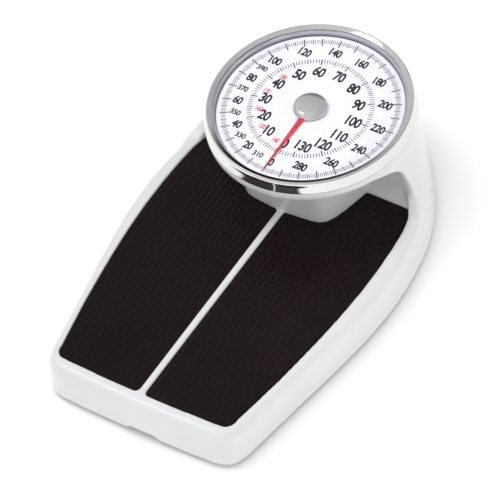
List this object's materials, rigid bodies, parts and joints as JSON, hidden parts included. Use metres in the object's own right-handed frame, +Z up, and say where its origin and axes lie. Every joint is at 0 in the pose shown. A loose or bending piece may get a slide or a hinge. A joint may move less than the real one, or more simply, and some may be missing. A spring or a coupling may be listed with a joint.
{
  "type": "mechanical dial platform scale",
  "caption": "Low platform scale with two black tread mats on a white cover that rises at the back into a round chrome-rimmed dial with a red pointer, driven by levers and springs.",
  "frame": {"origin": "centre of the footprint at the floor the feet stand on", "axes": "+Y from the front edge towards the dial, along the length; +Z up; +X to the right of a person standing on the mats and facing the dial"},
  "size_m": [0.3032, 0.4799, 0.147],
  "materials": {
    "white_gloss": "white gloss moulding",
    "black_rubber": "moulded rubber with a fine square grid",
    "chrome": "mirror chrome",
    "clear_lens": "clear domed lens",
    "dial_card": "satin white print ground",
    "pointer_red": "satin red",
    "zinc_steel": "zinc plated",
    "painted_pan": "dark painted sheet",
    "brass": "plain brass",
    "grey_plastic": "dark matte moulding"
  },
  "bodies": {
    "base": {"base_pan": "painted_pan", "foot_front_left": "black_rubber", "foot_front_right": "black_rubber", "foot_rear_left": "black_rubber", "foot_rear_right": "black_rubber", "fulcrum_front_left": "zinc_steel", "fulcrum_front_right": "zinc_steel", "fulcrum_rear_left": "zinc_steel", "fulcrum_rear_right": "zinc_steel", "spring_bridge": "zinc_steel", "main_spring_left": "zinc_steel", "main_spring_right": "zinc_steel", "wheel_pivot": "zinc_steel"},
    "platform": {"platform_cover": "white_gloss", "treadle_plate": "zinc_steel", "mat_left": "black_rubber", "mat_right": "black_rubber", "hanger_front_left": "zinc_steel", "hanger_front_right": "zinc_steel", "hanger_rear_left": "zinc_steel", "hanger_rear_right": "zinc_steel", "cover_screw_front_left": "zinc_steel", "cover_screw_front_right": "zinc_steel", "cover_screw_rear_left": "zinc_steel", "cover_screw_rear_right": "zinc_steel", "dial_bezel": "chrome", "dial_lens": "clear_lens", "lens_spacer": "grey_plastic", "dial_plate": "dial_card", "movement_bridge": "zinc_steel", "bridge_screw_left": "zinc_steel", "bridge_screw_right": "zinc_steel", "shaft_bushing": "brass", "crank_bracket": "zinc_steel", "crank_pin": "zinc_steel", "rack_guide": "zinc_steel"},
    "main_lever": {"main_lever": "zinc_steel", "coupling_link": "zinc_steel"},
    "short_lever": {"short_lever": "zinc_steel"},
    "pull_rod": {"pull_rod": "zinc_steel", "rod_nut": "brass"},
    "bell_crank": {"bell_crank": "brass"},
    "rack": {"rack": "brass"},
    "pointer": {"pointer": "pointer_red", "hub_cap": "chrome", "pointer_shaft": "zinc_steel", "pinion": "brass"},
    "zero_wheel": {"zero_wheel": "grey_plastic"},
    "zero_link": {"zero_link": "zinc_steel"}
  },
  "joints": [
    {"name": "platform_drop", "type": "slide", "parent": "base", "child": "platform", "axis": [0, 0, -1], "range_m": [0, 0.00115], "stiffness_N_per_m": 1540000, "springref_m": -0.00003},
    {"name": "main_lever_pivot", "type": "hinge", "parent": "base", "child": "main_lever", "pos_m": [0, -0.203, 0.028], "axis": [-1, 0, 0], "range_deg": [0, 2.76], "deforming": ["main_spring_left", "main_spring_right"]},
    {"name": "short_lever_pivot", "type": "hinge", "parent": "base", "child": "short_lever", "pos_m": [0, 0.176, 0.034], "axis": [1, 0, 0], "range_deg": [0, 2.76]},
    {"name": "pull_rod_drop", "type": "slide", "parent": "base", "child": "pull_rod", "axis": [0, 0, -1], "range_m": [0, 0.01587]},
    {"name": "bell_crank_pivot", "type": "hinge", "parent": "platform", "child": "bell_crank", "pos_m": [0, 0.1485, 0.085], "axis": [1, 0, 0], "range_deg": [0, 40.02]},
    {"name": "rack_travel", "type": "slide", "parent": "platform", "child": "rack", "axis": [0, -1, 0], "range_m": [0, 0.03143]},
    {"name": "pointer_turn", "type": "hinge", "parent": "platform", "child": "pointer", "pos_m": [0, 0.125, 0.1297], "axis": [0, 0, -1], "range_deg": [0, 480.2]},
    {"name": "zero_wheel_turn", "type": "hinge", "parent": "base", "child": "zero_wheel", "pos_m": [0, -0.214, 0.0091], "axis": [0, 0, 1], "range_deg": [-30, 30]},
    {"name": "zero_link_travel", "type": "slide", "parent": "base", "child": "zero_link", "axis": [0, 1, 0], "range_m": [-0.00419, 0.00419]}
  ],
  "couplings": [
    {"joint": "main_lever_pivot", "follows": "platform_drop", "rad_per_m": 41.667},
    {"joint": "short_lever_pivot", "follows": "platform_drop", "rad_per_m": 41.667},
    {"joint": "pull_rod_drop", "follows": "platform_drop", "ratio": 13.75},
    {"joint": "bell_crank_pivot", "follows": "platform_drop", "rad_per_m": 605.24},
    {"joint": "rack_travel", "follows": "platform_drop", "ratio": 27.236},
    {"joint": "pointer_turn", "follows": "platform_drop", "rad_per_m": 7262.9},
    {"joint": "zero_wheel_turn", "follows": "zero_link_travel", "rad_per_m": 125}
  ]
}
